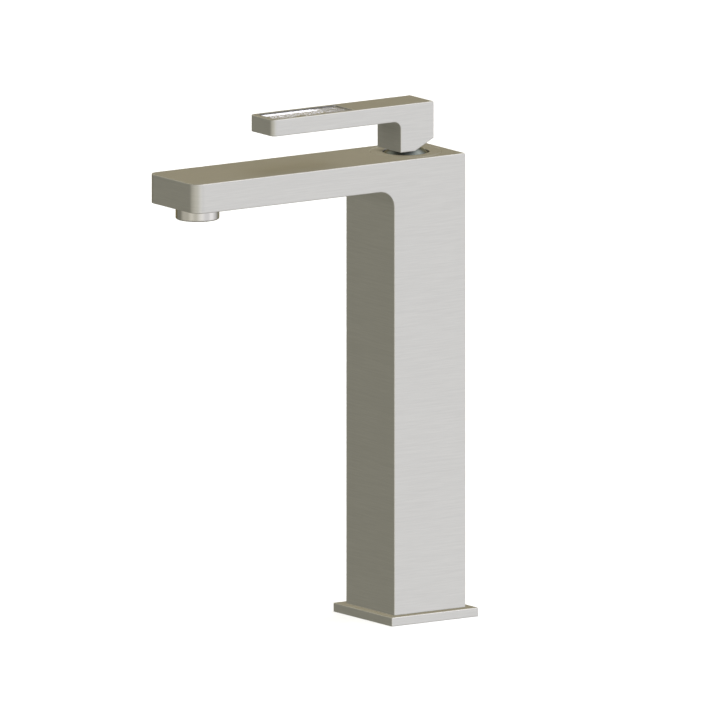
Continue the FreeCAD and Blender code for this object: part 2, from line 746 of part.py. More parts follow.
def disc_carrier():
    """Plate that drives the moving disc, with a socket for the stem's ball."""
    body = new_body("disc_carrier")
    plate = sketch_on(body, "XY_Plane", PLATE_FLOOR)
    draw_circle(plate, CARRIER_RADIUS, "0", DISC_Y)
    pad(body, plate, "dims.carrier_thickness")
    boss = sketch_on(body, "XY_Plane", PLATE_TOP)
    draw_square(boss, BOSS_HALF)
    pad(body, boss, f"{BOSS_TOP} - {PLATE_TOP}")
    keys = sketch_on(body, "XY_Plane", PLATE_FLOOR)
    inner = f"({CARRIER_RADIUS} - dims.key_depth)"
    outer = f"({CARRIER_RADIUS} - dims.part_clearance)"
    half = f"({KEY_HALF} - dims.seat_clearance)"
    for low, high in ((inner, outer), (f"-{outer}", f"-{inner}")):
        draw_rectangle(keys, low, f"{DISC_Y} - {half}", high, f"{DISC_Y} + {half}")
    pad(body, keys, "dims.disc_thickness / 2", backwards=True)
    drill(body, SOCKET_RADIUS, f"{BOSS_TOP} - {PLATE_TOP}", [("0", "0")], BOSS_TOP)


def stem_guide():
    """Rotor that turns with the lever: neck, flange, two legs, and a slot that lets the stem tilt."""
    flange = f"({HOUSING_BORE} - dims.sweep_clearance)"
    groove = "(dims.guide_radius - 2 * dims.guide_ring_cord)"
    ring_z = f"({PIVOT_Z} - dims.guide_ring_drop)"
    groove_floor = f"{ring_z} - {GROOVE_ROOM} * dims.guide_ring_cord"
    groove_top = f"{ring_z} + {GROOVE_ROOM} * dims.guide_ring_cord"
    body = turned_body("stem_guide", [
        ("0", GUIDE_FLOOR), (flange, GUIDE_FLOOR), (flange, GUIDE_SHELF),
        ("dims.guide_radius", GUIDE_SHELF), ("dims.guide_radius", GUIDE_TOP), ("0", GUIDE_TOP)])
    carve(body, [
        (groove, groove_floor),
        ("dims.guide_radius + dims.cut_margin", groove_floor),
        ("dims.guide_radius + dims.cut_margin", groove_top),
        (groove, groove_top)])
    legs = sketch_on(body, "XY_Plane", GUIDE_FLOOR)
    near_x = f"({BOSS_HALF} + dims.part_clearance)"
    far_x = f"({near_x} + dims.leg_thickness)"
    for low, high in ((near_x, far_x), (f"-{far_x}", f"-{near_x}")):
        draw_rectangle(legs, low, "-dims.leg_length / 2", high, "dims.leg_length / 2")
    pad(body, legs, f"{GUIDE_FLOOR} - {PLATE_TOP} - dims.part_clearance", backwards=True)

    slot = sketch_on(body, "YZ_Plane")
    half = "(dims.shank_side / 2)"
    waist = f"({half} / cos({LIFT}) + dims.slot_clearance)"
    back = f"({waist} + ({GUIDE_TOP} - {PIVOT_Z}) * tan({LIFT}))"
    fore = f"({BALL_TRAVEL} + dims.ball_radius + dims.slot_clearance)"
    draw_outline(slot, [
        (f"-{half} - dims.slot_clearance", GUIDE_TOP),
        (back, GUIDE_TOP),
        (waist, PIVOT_Z),
        (f"{half} + dims.slot_clearance", GUIDE_FLOOR),
        (f"-{fore}", GUIDE_FLOOR),
        (f"-{waist}", PIVOT_Z)])
    pocket(body, slot, "dims.shank_side + dims.part_clearance", symmetric=True)
    pin = sketch_on(body, "YZ_Plane")
    draw_circle(pin, "dims.pivot_pin_radius + dims.press_clearance", "0", PIVOT_Z)
    pocket(body, pin, "2 * dims.guide_radius", symmetric=True)
    keep("guide_o_ring", ring_cord(
        "guide_seal", "dims.guide_radius - dims.guide_ring_cord + dims.press_clearance",
        "dims.guide_ring_cord", ring_z))


def pivot_pin():
    body = new_body("pivot_pin")
    section = sketch_on(body, "YZ_Plane")
    draw_circle(section, "dims.pivot_pin_radius", "0", PIVOT_Z)
    pad(body, section, "dims.pivot_pin_length", symmetric=True)


def cartridge_housing():
    """Shell of the cartridge: wide bore for the discs, neck for the stem guide."""
    turned_body("cartridge_housing", [
        (HOUSING_BORE, BASE_SHELF),
        ("dims.cartridge_radius", BASE_SHELF),
        ("dims.cartridge_radius", SHOULDER_Z),
        (NECK_RADIUS, SHOULDER_Z),
        (NECK_RADIUS, NECK_TOP),
        (NECK_BORE, NECK_TOP),
        (NECK_BORE, HOUSING_STEP),
        (HOUSING_BORE, HOUSING_STEP)])


def cartridge_nut():
    """Threaded ring nut with a notched rim that stands outside the dome's sweep."""
    inner = f"({NECK_RADIUS} + dims.part_clearance)"
    rim_top = f"({NUT_TOP} + dims.nut_rim_height)"
    body = turned_body("cartridge_nut", [
        (inner, SHOULDER_Z), (NUT_RADIUS, SHOULDER_Z), (NUT_RADIUS, rim_top),
        (DOME_ROOM, rim_top), (DOME_ROOM, NUT_TOP), (inner, NUT_TOP)])
    for role in ("XZ_Plane", "YZ_Plane"):
        notch = sketch_on(body, role)
        draw_rectangle(notch, "-dims.nut_notch / 2", NUT_TOP,
                       "dims.nut_notch / 2", f"{rim_top} + dims.cut_margin")
        pocket(body, notch, f"2 * {NUT_RADIUS} + dims.cut_margin", symmetric=True)


def trim_ring():
    """Flush ring round the lever, opened out below to clear the dome, with a seal in its edge."""
    outer = f"({RING_BORE} - dims.thread_clearance)"
    groove = f"({outer} - 2 * dims.ring_seal_cord)"
    flare = f"sqrt(pow({DOME_ROOM} + dims.seat_clearance; 2) - pow({PIVOT_Z} - {RING_FLOOR}; 2))"
    half = f"{GROOVE_ROOM} * dims.ring_seal_cord"
    turned_body("trim_ring", [
        (flare, RING_FLOOR),
        (outer, RING_FLOOR),
        (outer, f"{RING_MIDDLE} - {half}"),
        (groove, f"{RING_MIDDLE} - {half}"),
        (groove, f"{RING_MIDDLE} + {half}"),
        (outer, f"{RING_MIDDLE} + {half}"),
        (outer, "dims.body_height - dims.ring_bevel"),
        (f"{outer} - dims.ring_bevel", "dims.body_height"),
        ("dims.ring_opening + 2 * dims.ring_bevel", "dims.body_height"),
        ("dims.ring_opening", "dims.body_height - 2 * dims.ring_bevel"),
        ("dims.ring_opening", "dims.body_height - dims.ring_land")])
    keep("ring_o_ring", ring_cord(
        "ring_seal", f"{outer} - dims.ring_seal_cord + dims.press_clearance", "dims.ring_seal_cord",
        RING_MIDDLE))


def lever_stem():
    """Square shank above the pivot, round neck and ball below it."""
    body = turned_body("lever_stem", [
        ("0", BALL_Z),
        ("dims.ball_neck_radius", BALL_Z),
        ("dims.stem_neck_radius", f"{PIVOT_Z} - dims.pivot_boss_radius / 2"),
        ("dims.stem_neck_radius", PIVOT_Z),
        ("0", PIVOT_Z)])
    ball(body, "PartDesign::AdditiveSphere", "dims.ball_radius", BALL_Z)
    boss = sketch_on(body, "YZ_Plane")
    draw_circle(boss, "dims.pivot_boss_radius", "0", PIVOT_Z)
    pad(body, boss, "dims.shank_side", symmetric=True)
    shank = sketch_on(body, "XY_Plane", PIVOT_Z)
    draw_square(shank, "(dims.shank_side / 2)")
    pad(body, shank, "dims.shank_rise")
    hole = sketch_on(body, "YZ_Plane")
    draw_circle(hole, "dims.pivot_pin_radius + dims.pivot_clearance", "0", PIVOT_Z)
    pocket(body, hole, "2 * dims.shank_side", symmetric=True)


def underside(reach):
    """The lever block's underside, seen from the side: flat in front, rising behind as the heel."""
    return [(f"-{reach}", BLOCK_FLOOR),
            ("-dims.heel_start", BLOCK_FLOOR),
            (reach, f"{BLOCK_FLOOR} + ({reach} + dims.heel_start) * {HEEL_SLOPE}")]


def dome_cap():
    """Spherical shroud round the stem, cut to the block's underside where it meets it."""
    body = new_body("dome_cap")
    ball(body, "PartDesign::AdditiveSphere", "dims.dome_radius", PIVOT_Z, "90 - dims.dome_skirt_angle")
    ball(body, "PartDesign::SubtractiveSphere", "dims.dome_radius - dims.dome_wall", PIVOT_Z)
    crown = sketch_on(body, "YZ_Plane")
    reach = "dims.dome_radius"
    draw_outline(crown, underside(reach) + [(reach, SHANK_TOP), (f"-{reach}", SHANK_TOP)])
    pocket(body, crown, "2 * dims.dome_radius", symmetric=True)
    window = sketch_on(body, "XY_Plane", PIVOT_Z)
    draw_square(window, f"({SOCKET_HALF} + dims.pivot_clearance)")
    pocket(body, window, "dims.shank_rise", backwards=True)


def lever_handle():
    """Block and bar in one piece, with the stem's socket, the grub screw's hole and the insert's bed."""
    body = new_body("lever_handle")
    side = sketch_on(body, "YZ_Plane")
    bar_floor = f"({LEVER_TOP} - dims.bar_thickness)"
    draw_outline(side, [
        ("-dims.lever_reach", LEVER_TOP),
        ("-dims.lever_reach", bar_floor),
        ("-dims.block_front", bar_floor),
        ("-dims.block_front", BLOCK_FLOOR),
        ("-dims.heel_start", BLOCK_FLOOR),
        ("dims.block_rear", f"{BLOCK_FLOOR} + (dims.block_rear + dims.heel_start) * {HEEL_SLOPE}"),
        ("dims.block_rear", LEVER_TOP)])
    pad(body, side, "dims.lever_width", symmetric=True)
    front, tip, under = -value("dims.block_front"), -value("dims.lever_reach"), value(bar_floor)
    dress(body, "PartDesign::Fillet", "dims.block_inner",
          lambda at: near(at.y, front) and near(at.z, under))
    dress(body, "PartDesign::Fillet", "dims.lever_corner",
          lambda at: near(at.y, tip) and not near(at.x, 0))
    dress(body, "PartDesign::Fillet", "dims.lever_edge", lambda at: True)

    bed = sketch_on(body, "XY_Plane", LEVER_TOP)
    half = "(dims.insert_width / 2)"
    draw_rectangle(bed, f"-{half}", "-dims.insert_front", half, "-dims.insert_rear")
    pocket(body, bed, "dims.insert_pocket")
    socket = sketch_on(body, "XY_Plane", BLOCK_FLOOR)
    draw_square(socket, SOCKET_HALF)
    pocket(body, socket, f"{SHANK_TOP} - {BLOCK_FLOOR} + dims.seat_clearance", backwards=True)
    hole = sketch_on(body, "XZ_Plane", "-dims.block_rear")
    draw_circle(hole, "dims.grub_radius + dims.press_clearance", "0", GRUB_Z)
    pocket(body, hole, "dims.block_rear - dims.shank_side / 2", backwards=True)


def crystal_insert():
    """Clear bar that lies in the lever's bed, a little below its top."""
    body = new_body("crystal_insert")
    bar = sketch_on(body, "XY_Plane", f"{LEVER_TOP} - dims.insert_pocket")
    half = "(dims.insert_width / 2 - dims.seat_clearance)"
    draw_rectangle(bar, f"-{half}", "-dims.insert_front + dims.seat_clearance",
                   half, "-dims.insert_rear - dims.seat_clearance")
    pad(body, bar, "dims.insert_pocket - dims.insert_recess")
    top = value(f"{LEVER_TOP} - dims.insert_recess")
    dress(body, "PartDesign::Chamfer", "dims.insert_bevel", lambda at: near(at.z, top))


def grub_screw():
    body = new_body("grub_screw")
    start = "-dims.shank_side / 2 - dims.pivot_clearance"
    section = sketch_on(body, "XZ_Plane", start)
    draw_circle(section, "dims.grub_radius", "0", GRUB_Z)
    pad(body, section, "dims.grub_length", backwards=True)
    recess = sketch_on(body, "XZ_Plane", f"{start} - dims.grub_length")
    draw_circle(recess, "dims.grub_hex / 2", "0", GRUB_Z)
    pocket(body, recess, "dims.grub_length / 2", backwards=True)


def aerator_housing():
    """Collar under the spout's tip, threaded into it, with a lip that holds the aerator."""
    bore = "(dims.aerator_radius + dims.seat_clearance)"
    lip = "(dims.aerator_radius - dims.aerator_lip)"
    body = turned_body("aerator_housing", [
        (lip, COLLAR_FLOOR),
        ("dims.collar_radius - dims.collar_bevel", COLLAR_FLOOR),
        ("dims.collar_radius", f"{COLLAR_FLOOR} + dims.collar_bevel"),
        ("dims.collar_radius", SPOUT_FLOOR),
        ("dims.outlet_thread_radius", SPOUT_FLOOR),
        ("dims.outlet_thread_radius", CHANNEL_FLOOR),
        (bore, CHANNEL_FLOOR),
        (bore, AERATOR_FLOOR),
        (lip, AERATOR_FLOOR)])
    move_to(body, y="-dims.outlet_reach")


SCREEN_RINGS = 3


def pierce(screen, ring):
    """Cut one ring of six-sided cells through the screen: one in the middle, six more in each ring out."""
    cell = sketch_on(screen, "XY_Plane", AERATOR_FLOOR)
    draw_outline(cell, [
        (f"{ring} * dims.screen_pitch + dims.screen_opening * cos({angle}deg) / 2",
         f"dims.screen_opening * sin({angle}deg) / 2") for angle in range(0, 360, 60)])
    cut = pocket(screen, cell, "dims.screen_thickness", backwards=True)
    if ring:
        pattern = screen.newObject("PartDesign::PolarPattern", "cell_ring")
        pattern.Originals = [cut]
        pattern.Axis = (cell, ["N_Axis"])
        pattern.Angle = 360
        pattern.Occurrences = 6 * ring
        screen.Tip = pattern


def aerator():
    """Plastic cup with a straightening screen below, a regulator above and a washer on top."""
    screen_top = f"({AERATOR_FLOOR} + dims.screen_thickness)"
    shelf_floor = f"({screen_top} + dims.seat_clearance)"
    shelf_top = f"({AERATOR_TOP} - dims.regulator_thickness)"
    ledge = f"({AERATOR_BORE} - dims.aerator_ledge)"
    cup = turned_body("aerator_body", [
        (AERATOR_BORE, AERATOR_FLOOR), ("dims.aerator_radius", AERATOR_FLOOR),
        ("dims.aerator_radius", AERATOR_TOP), (AERATOR_BORE, AERATOR_TOP),
        (AERATOR_BORE, shelf_top), (ledge, shelf_top), (ledge, shelf_floor), (AERATOR_BORE, shelf_floor)])
    fitted = f"({AERATOR_BORE} - dims.seat_clearance)"

    regulator = turned_body("flow_regulator", [
        ("0", shelf_top), (fitted, shelf_top), (fitted, AERATOR_TOP), ("0", AERATOR_TOP)])
    around = [(f"dims.regulator_circle * cos({angle}deg)", f"dims.regulator_circle * sin({angle}deg)")
              for angle in range(0, 360, 60)]
    drill(regulator, "dims.regulator_hole", "dims.regulator_thickness", around, AERATOR_TOP)

    screen = turned_body("aerator_screen", [
        ("0", AERATOR_FLOOR), (fitted, AERATOR_FLOOR),
        (fitted, screen_top), ("0", screen_top)])
    pierce(screen, 0)
    for ring in range(1, SCREEN_RINGS + 1):
        pierce(screen, ring)

    washer_bore = "dims.aerator_radius - dims.washer_width"
    washer_top = f"({AERATOR_TOP} + dims.washer_height)"
    washer = turned_body("aerator_washer", [
        (washer_bore, AERATOR_TOP), ("dims.aerator_radius", AERATOR_TOP),
        ("dims.aerator_radius", washer_top), (washer_bore, washer_top)])
    for piece in (cup, regulator, screen, washer):
        move_to(piece, y="-dims.outlet_reach")


def build():
    """Model every sub-part, from the foot to the lever."""
    faucet_body()
    base_plate()
    base_gasket()
    base_screws()
    foot_insert()
    risers()
    riser_seals()
    cartridge_base()
    flat_seals("port_seals", SEAT_Z)
    flat_seals("disc_seals", f"{FIXED_FLOOR} - dims.seal_height")
    fixed_disc()
    moving_disc()
    disc_carrier()
    stem_guide()
    pivot_pin()
    cartridge_housing()
    cartridge_nut()
    trim_ring()
    lever_stem()
    dome_cap()
    lever_handle()
    crystal_insert()
    grub_screw()
    aerator_housing()
    aerator()
    document.recompute()


def write_nodes():
    """Stop on any failed object, then write one file per sub-part."""
    for item in document.Objects:
        if {"Invalid", "Error"} & set(item.State):
            sys.exit(f"{item.Label} failed: {item.State}")
    os.makedirs("parts", exist_ok=True)
    for label, item in nodes.items():
        shape = item.Shape
        if shape.isNull() or not shape.isValid() or not shape.Solids:
            sys.exit(f"{label} has no valid solid")
        shape.exportStep(f"parts/{label}.step")
        box = shape.optimalBoundingBox()
        print(f"{label}: {len(shape.Solids)} solid(s), {shape.Volume:.1f} mm3, "
              f"{box.XLength:.1f} x {box.YLength:.1f} x {box.ZLength:.1f} mm")


build()
write_nodes()
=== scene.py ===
# %% [markdown]
# # Dressing a tall basin faucet
# The faucet is a square column with a flat spout, a slim lever above it and a clear rippled bar in the
# lever's top. Every metal part arrives from the CAD model with its true shape, so this lesson is about
# light, camera and finishes, and about the one surface that a CAD tool draws badly: rippled crystal.
# Everything is in metres. The origin lies on the deck under the column, +Z is up, and the spout points
# along -Y.

# %% Load the CAD model
import bpy
import math
import numpy as np
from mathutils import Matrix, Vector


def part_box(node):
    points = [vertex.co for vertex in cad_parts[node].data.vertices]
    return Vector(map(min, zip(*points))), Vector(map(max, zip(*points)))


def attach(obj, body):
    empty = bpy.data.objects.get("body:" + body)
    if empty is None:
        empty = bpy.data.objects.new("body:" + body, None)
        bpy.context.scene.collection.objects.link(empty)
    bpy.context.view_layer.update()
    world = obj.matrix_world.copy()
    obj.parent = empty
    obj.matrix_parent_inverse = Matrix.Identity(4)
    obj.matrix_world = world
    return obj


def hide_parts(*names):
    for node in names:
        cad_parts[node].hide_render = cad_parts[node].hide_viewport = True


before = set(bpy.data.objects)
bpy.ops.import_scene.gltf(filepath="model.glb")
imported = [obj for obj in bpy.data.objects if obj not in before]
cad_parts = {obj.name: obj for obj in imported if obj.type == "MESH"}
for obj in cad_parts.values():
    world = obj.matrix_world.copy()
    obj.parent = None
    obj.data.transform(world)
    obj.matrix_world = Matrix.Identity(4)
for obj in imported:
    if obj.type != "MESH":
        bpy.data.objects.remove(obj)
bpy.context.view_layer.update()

# %% [markdown]
# ## The camera
# The photograph shows no perspective: the long edges of the spout and of the base plate stay parallel. A
# perspective camera far away would come close to that, but an orthographic one is exact, and its scale is
# one number: a picture pixel is 0.563 mm wide. It looks from the front right and a little from above.

# %% Choose where the camera looks from
PIXEL = 0.0005634
PICTURE = 720
CAMERA_AZIMUTH = math.radians(55.77)
CAMERA_ELEVATION = math.radians(10.18)
CAMERA_DISTANCE = 2.0
MIDDLE_RIGHT = -0.02583
MIDDLE_UP = 0.14301

right = np.array([math.cos(CAMERA_AZIMUTH), math.sin(CAMERA_AZIMUTH), 0.0])
towards = np.array([math.sin(CAMERA_AZIMUTH) * math.cos(CAMERA_ELEVATION),
                    -math.cos(CAMERA_AZIMUTH) * math.cos(CAMERA_ELEVATION),
                    math.sin(CAMERA_ELEVATION)])
up = np.cross(towards, right)
middle = right * MIDDLE_RIGHT + up * MIDDLE_UP
print("picture", round(PIXEL * PICTURE, 3), "m wide, its middle at", middle.round(3))

# %% Place the camera
camera_data = bpy.data.cameras.new("camera")
camera_data.type = "ORTHO"
camera_data.ortho_scale = PIXEL * PICTURE
camera = bpy.data.objects.new("camera", camera_data)
bpy.context.scene.collection.objects.link(camera)
camera.location = middle + towards * CAMERA_DISTANCE
camera.rotation_euler = (math.pi / 2 - CAMERA_ELEVATION, 0, CAMERA_AZIMUTH)
bpy.context.scene.camera = camera
print("camera at", [round(float(number), 3) for number in camera.location])

# %% [markdown]
# ## Helpers for node trees
# Every light and finish below is a small tree of nodes. Made in the shader editor they would be boxes and
# wires. These helpers make a node, join two sockets and do one sum each, so that a tree reads like the
# formula that it stands for.

# %% Make and join nodes
def add_node(tree, kind, **settings):
    """Make a node and set its attributes."""
    node = tree.nodes.new(kind)
    for name, setting in settings.items():
        setattr(node, name, setting)
    return node


def feed(tree, source, socket):
    """Join a socket to a source, or give it a plain number or colour."""
    if hasattr(source, "is_linked"):
        tree.links.new(source, socket)
    else:
        socket.default_value = source


print("nodes can be made and joined")

# %% Calculate with nodes
def calculate(tree, operation, *sources):
    """One sum on numbers."""
    node = add_node(tree, "ShaderNodeMath", operation=operation)
    for socket, source in zip(node.inputs, sources):
        feed(tree, source, socket)
    return node.outputs["Value"]


def calculate_vector(tree, operation, *sources):
    """One sum on vectors. Its result is a number for a dot product and a vector otherwise."""
    node = add_node(tree, "ShaderNodeVectorMath", operation=operation)
    for socket, source in zip(node.inputs, sources):
        feed(tree, source, socket)
    return node.outputs["Value" if operation == "DOT_PRODUCT" else "Vector"]


def soft_step(tree, source, low, high):
    """A number that rises smoothly from 0 to 1 while source goes from low to high."""
    node = add_node(tree, "ShaderNodeMapRange", interpolation_type="SMOOTHSTEP")
    feed(tree, source, node.inputs["Value"])
    feed(tree, low, node.inputs["From Min"])
    feed(tree, high, node.inputs["From Max"])
    return node.outputs["Result"]


print("nodes can calculate")

# %% Make noise
NOISE_ROUGHNESS = 0.6


def noise(tree, place, detail=2.0):
    """Noise that changes about once per unit of place, so place carries the scale."""
    node = add_node(tree, "ShaderNodeTexNoise")
    feed(tree, place, node.inputs["Vector"])
    feed(tree, 1.0, node.inputs["Scale"])
    feed(tree, detail, node.inputs["Detail"])
    feed(tree, NOISE_ROUGHNESS, node.inputs["Roughness"])
    return node.outputs["Fac"]


print("noise ready, roughness", NOISE_ROUGHNESS)

# %% [markdown]
# ## A studio for flat metal
# Flat metal mirrors one small patch of its surroundings per face, so the light is what gives each face
# its tone. Lamps near the object would put a gradient on faces that are even in the photograph. A dome
# at an infinite distance doesn't: it is a dim room plus a few soft panels, each round one direction. One
# panel, dim_left, takes light away, as a black flag does on a stage. Another, warm_back, adds red and takes
# blue, which leaves the tops a warm grey. In the photograph's view no flat metal face mirrors edge_light,
# which is there for the rounded edges.

# %% Choose the panels
ROOM = (0.256, 0.252, 0.207)
# Each panel: azimuth from +X, elevation, half angle at full light, half angle at its edge, colour.
PANELS = {
    "key_strip": (45, 0, 10, 22, (0.25, 0.25, 0.25)),
    "main_panel": (31, 25, 40, 80, (0.65, 0.66, 0.725)),
    "front_panel": (-92, -5, 15, 45, (0.325, 0.315, 0.285)),
    "side_panel": (-38, 0, 10, 50, (0.44, 0.435, 0.40)),
    "ceiling": (112, 53, 8, 20, (1.45, 1.45, 1.45)),
    "edge_light": (68, 52, 6, 26, (0.75, 0.74, 0.72)),
    "warm_back": (150, 20, 10, 60, (0.065, 0.025, -0.045)),
    "dim_left": (178, -8, 8, 25, (-0.090, -0.095, -0.090)),
    "left_panel": (-165, 35, 8, 28, (0.50, 0.50, 0.45)),
}
print(len(PANELS), "panels:", ", ".join(PANELS))

# %% Hang one panel
def compass(azimuth, elevation):
    """The unit vector towards an azimuth and an elevation, in degrees."""
    flat, steep = math.radians(azimuth), math.radians(elevation)
    return (math.cos(steep) * math.cos(flat), math.cos(steep) * math.sin(flat), math.sin(steep))


def hang_panel(tree, direction, glow, azimuth, elevation, full, edge, colour):
    """Glow + colour x smooth step of the cosine between the direction and the panel's middle."""
    nearness = calculate_vector(tree, "DOT_PRODUCT", direction, compass(azimuth, elevation))
    amount = soft_step(tree, nearness, math.cos(math.radians(edge)), math.cos(math.radians(full)))
    return calculate_vector(tree, "MULTIPLY_ADD", amount, colour, glow)


print("the ceiling lies towards", [round(part, 2) for part in compass(*PANELS["ceiling"][:2])])

# %% [markdown]
# The camera itself sees plain white, through the Light Path node, as the photograph's background is. The
# metal's rays find the dome by themselves, so it isn't sampled as a lamp, which would add shadows that
# the photograph hasn't.

# %% Build the dome
WHITE = (1, 1, 1, 1)

world = bpy.data.worlds.new("studio_dome")
bpy.context.scene.world = world
world.use_nodes = True
world.cycles.sampling_method = "NONE"
tree = world.node_tree
tree.nodes.clear()
direction = add_node(tree, "ShaderNodeTexCoord").outputs["Generated"]
glow = ROOM
for panel in PANELS.values():
    glow = hang_panel(tree, direction, glow, *panel)

seen = add_node(tree, "ShaderNodeBackground")
feed(tree, WHITE, seen.inputs["Color"])
dome = add_node(tree, "ShaderNodeBackground")
feed(tree, glow, dome.inputs["Color"])
choice = add_node(tree, "ShaderNodeMixShader")
feed(tree, add_node(tree, "ShaderNodeLightPath").outputs["Is Camera Ray"], choice.inputs["Fac"])
feed(tree, dome.outputs[0], choice.inputs[1])
feed(tree, seen.outputs[0], choice.inputs[2])
feed(tree, choice.outputs[0], add_node(tree, "ShaderNodeOutputWorld").inputs["Surface"])
bpy.context.scene.view_settings.view_transform = "Standard"
print("dome of", len(tree.nodes), "nodes")

# %% [markdown]
# ## The floor
# The faucet stands on white paper that has no edge and no tone of its own in the photograph. A large
# plane lit by the dome alone would turn grey, so the plane has a little light of its own. It is kept out
# of the metal's reflections, because the photograph's metal doesn't mirror it, and it lies a tenth of a
# millimetre low, so that it doesn't share a plane with the base plate's underside.

# %% Lay the paper
FLOOR_HALF = 4.0
FLOOR_GAP = 0.0001

low, high = -FLOOR_HALF, FLOOR_HALF
corners = [(low, low), (high, low), (high, high), (low, high)]
floor_mesh = bpy.data.meshes.new("floor")
floor_mesh.from_pydata([(*corner, -FLOOR_GAP) for corner in corners], [], [(0, 1, 2, 3)])
floor = bpy.data.objects.new("floor", floor_mesh)
bpy.context.scene.collection.objects.link(floor)
floor.visible_glossy = False
print("floor", 2 * FLOOR_HALF, "m wide")

# %% Whiten the paper
PAPER = (0.9, 0.9, 0.9, 1)
PAPER_GLOW = 0.60

paper = bpy.data.materials.new("pale_paper")
paper.use_nodes = True
surface = paper.node_tree.nodes["Principled BSDF"].inputs
surface["Base Color"].default_value = PAPER
surface["Roughness"].default_value = 1.0
surface["Specular IOR Level"].default_value = 0.0
surface["Emission Color"].default_value = WHITE
surface["Emission Strength"].default_value = PAPER_GLOW
floor_mesh.materials.append(paper)
print(paper.name, "glows with", PAPER_GLOW)

# %% [markdown]
# ## Grain, once for every metal and plastic
# Three effects cover the whole faucet. Straight brushing is noise stretched along the stroke. Turned
# grain is the same noise bent round an axis, as a lathe leaves it. Fine speckle is even noise, as a mould
# or a kiln leaves it. Photographed textures would do as well, but they need flat maps of every part, and
# noise in the object's own coordinates needs none. Each effect is a node group that puts out a shade, near
# 1, and a height for a bump, so a material takes as much of either as it needs.

# %% Open and close a group
def new_group(name, outputs=("Shade", "Height"), **inputs):
    """A shader node group with number inputs, and number outputs apart from one called Normal."""
    group = bpy.data.node_groups.new(name, "ShaderNodeTree")
    for label, default in inputs.items():
        socket = group.interface.new_socket(name=label, in_out="INPUT", socket_type="NodeSocketFloat")
        socket.default_value = default
    for label in outputs:
        kind = "NodeSocketVector" if label == "Normal" else "NodeSocketFloat"
        group.interface.new_socket(name=label, in_out="OUTPUT", socket_type=kind)
    return group, add_node(group, "NodeGroupInput").outputs, add_node(group, "NodeGroupOutput").inputs


def close_group(group, given, made, height):
    """Shade = 1 + Strength x (height - 0.5). Height = height."""
    centred = calculate(group, "SUBTRACT", height, 0.5)
    feed(group, calculate(group, "MULTIPLY_ADD", centred, given["Strength"], 1.0), made["Shade"])
    feed(group, height, made["Height"])


def object_place(group):
    """The place and the normal in the object's own coordinates, as two of the node's outputs."""
    return add_node(group, "ShaderNodeTexCoord").outputs


def split_place(group):
    """X, Y and Z of the place in the object's own coordinates."""
    apart = add_node(group, "ShaderNodeSeparateXYZ")
    feed(group, object_place(group)["Object"], apart.inputs[0])
    return apart.outputs


print("groups can be opened and closed")

# %% Straight brushing
ALONG_STROKE = 60.0
ACROSS_STROKE = 1900.0
LEAST_UPWARD = 0.6
FULLY_UPWARD = 0.8


def straight_brushing():
    """Noise with few changes along the stroke and many across it.

    The stroke runs level round upright faces and along the spout on faces that look up or down, so two
    stretched noises are mixed by how far the surface looks up or down.
    """
    group, given, made = new_group("straight_brushing", Strength=0.2)
    place = object_place(group)
    level = noise(group, calculate_vector(group, "MULTIPLY", place["Object"],
                                          (ALONG_STROKE, ALONG_STROKE, ACROSS_STROKE)))
    forward = noise(group, calculate_vector(group, "MULTIPLY", place["Object"],
                                            (ACROSS_STROKE, ALONG_STROKE, ALONG_STROKE)))
    apart = add_node(group, "ShaderNodeSeparateXYZ")
    feed(group, place["Normal"], apart.inputs[0])
    upward = calculate(group, "ABSOLUTE", apart.outputs["Z"])
    mix = add_node(group, "ShaderNodeMix", data_type="FLOAT")
    feed(group, soft_step(group, upward, LEAST_UPWARD, FULLY_UPWARD), mix.inputs["Factor"])
    feed(group, level, mix.inputs["A"])
    feed(group, forward, mix.inputs["B"])
    close_group(group, given, made, mix.outputs["Result"])
    return group


BRUSHING = straight_brushing()
print("group", BRUSHING.name)

# %% Turned grain
AROUND_AXIS = 3.0
LEAST_RADIUS = 1e-6


def turned_grain():
    """Noise over (radius + height, cosine and sine of the angle), so its lines circle an upright axis."""
    group, given, made = new_group("turned_grain", Strength=0.1, Lines=1500.0, CentreX=0.0, CentreY=0.0)
    place = split_place(group)
    x = calculate(group, "SUBTRACT", place["X"], given["CentreX"])
    y = calculate(group, "SUBTRACT", place["Y"], given["CentreY"])
    radius = calculate(group, "SQRT", calculate(group, "ADD", calculate(group, "MULTIPLY", x, x),
                                                calculate(group, "MULTIPLY", y, y)))
    outward = calculate(group, "ADD", radius, place["Z"])
    safe = calculate(group, "MAXIMUM", radius, LEAST_RADIUS)
    join = add_node(group, "ShaderNodeCombineXYZ")
    feed(group, calculate(group, "MULTIPLY", outward, given["Lines"]), join.inputs["X"])
    for offset, label in ((x, "Y"), (y, "Z")):
        share = calculate(group, "DIVIDE", offset, safe)
        feed(group, calculate(group, "MULTIPLY", share, AROUND_AXIS), join.inputs[label])
    close_group(group, given, made, noise(group, join.outputs[0]))
    return group


TURNING = turned_grain()
print("group", TURNING.name)

# %% Fine speckle
SPECKLE_DETAIL = 3.0


def fine_speckle():
    """Even noise, with Grains changes per metre in every direction."""
    group, given, made = new_group("fine_speckle", Strength=0.05, Grains=900.0)
    place = calculate_vector(group, "SCALE", object_place(group)["Object"])
    feed(group, given["Grains"], place.node.inputs["Scale"])
    close_group(group, given, made, noise(group, place, SPECKLE_DETAIL))
    return group


SPECKLE = fine_speckle()
print("group", SPECKLE.name)
